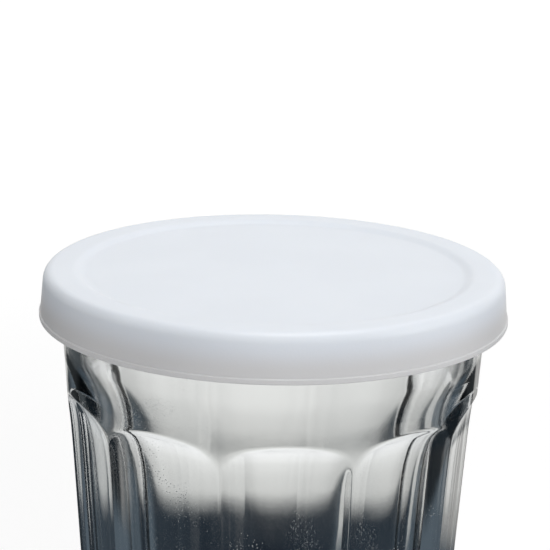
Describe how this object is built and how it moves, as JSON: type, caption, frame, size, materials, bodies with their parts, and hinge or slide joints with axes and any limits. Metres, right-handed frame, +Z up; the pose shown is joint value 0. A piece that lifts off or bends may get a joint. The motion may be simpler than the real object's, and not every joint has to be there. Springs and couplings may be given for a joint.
{
  "type": "glass storage jar with plastic lid",
  "caption": "Tapered glass storage jar with arched flat panels and a push-on white plastic lid that sits over the rim.",
  "frame": {"origin": "centre of the foot ring, on the plane the jar stands on", "axes": "+Z up along the jar's axis, -Y towards the middle of one flat panel, +X to the right of it"},
  "size_m": [0.089, 0.089, 0.108],
  "materials": {
    "glass": "clear pressed glass, glossy",
    "lid_plastic": "soft satin white, slightly see-through"
  },
  "bodies": {
    "root": {"jar": "glass", "lid": "lid_plastic"}
  },
  "joints": []
}
